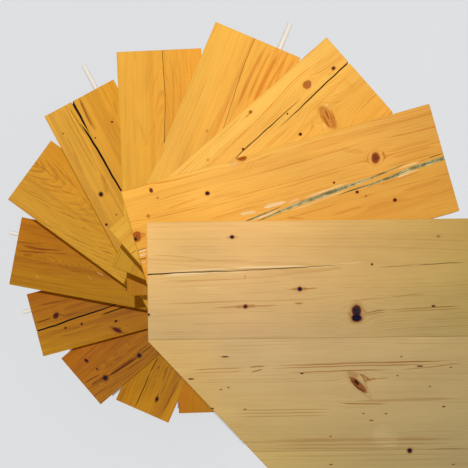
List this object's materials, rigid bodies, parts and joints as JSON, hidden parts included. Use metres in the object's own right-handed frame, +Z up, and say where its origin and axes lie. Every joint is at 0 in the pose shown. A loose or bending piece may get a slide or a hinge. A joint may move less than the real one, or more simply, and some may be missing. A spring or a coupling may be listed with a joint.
{
  "type": "spiral staircase",
  "caption": "Spiral staircase of thick pine plank treads round a steel column, with white sleeves, a floor plate, pins for the walls and a corner-cut plank landing.",
  "frame": {"origin": "on the floor, at the axis of the column, in the underside of the round floor plate", "axes": "+Z up along the column; the landing lies towards +X and -Y, and its free long edge runs along X"},
  "size_m": [1.5785, 1.5665, 2.6],
  "materials": {
    "tread_pine": "satin lacquer, golden",
    "landing_pine": "matt, pale",
    "batten_pine": "planed",
    "white_paint": "semi-gloss"
  },
  "bodies": {
    "root": {"tread_01": "tread_pine", "tread_02": "tread_pine", "tread_03": "tread_pine", "tread_04": "tread_pine", "tread_05": "tread_pine", "tread_06": "tread_pine", "tread_07": "tread_pine", "tread_08": "tread_pine", "tread_09": "tread_pine", "tread_10": "tread_pine", "tread_11": "tread_pine", "tread_12": "tread_pine", "landing_plank_1": "landing_pine", "landing_plank_2": "landing_pine", "landing_plank_3": "landing_pine", "landing_batten_1": "batten_pine", "landing_batten_2": "batten_pine", "landing_batten_3": "batten_pine", "sleeve_01": "white_paint", "sleeve_02": "white_paint", "sleeve_03": "white_paint", "sleeve_04": "white_paint", "sleeve_05": "white_paint", "sleeve_06": "white_paint", "sleeve_07": "white_paint", "sleeve_08": "white_paint", "sleeve_09": "white_paint", "sleeve_10": "white_paint", "sleeve_11": "white_paint", "sleeve_12": "white_paint", "sleeve_13": "white_paint", "wall_pin_03": "white_paint", "wall_pin_05": "white_paint", "wall_pin_07": "white_paint", "wall_pin_08": "white_paint", "column": "white_paint", "base_plate": "white_paint", "head_plate": "white_paint"}
  },
  "joints": []
}
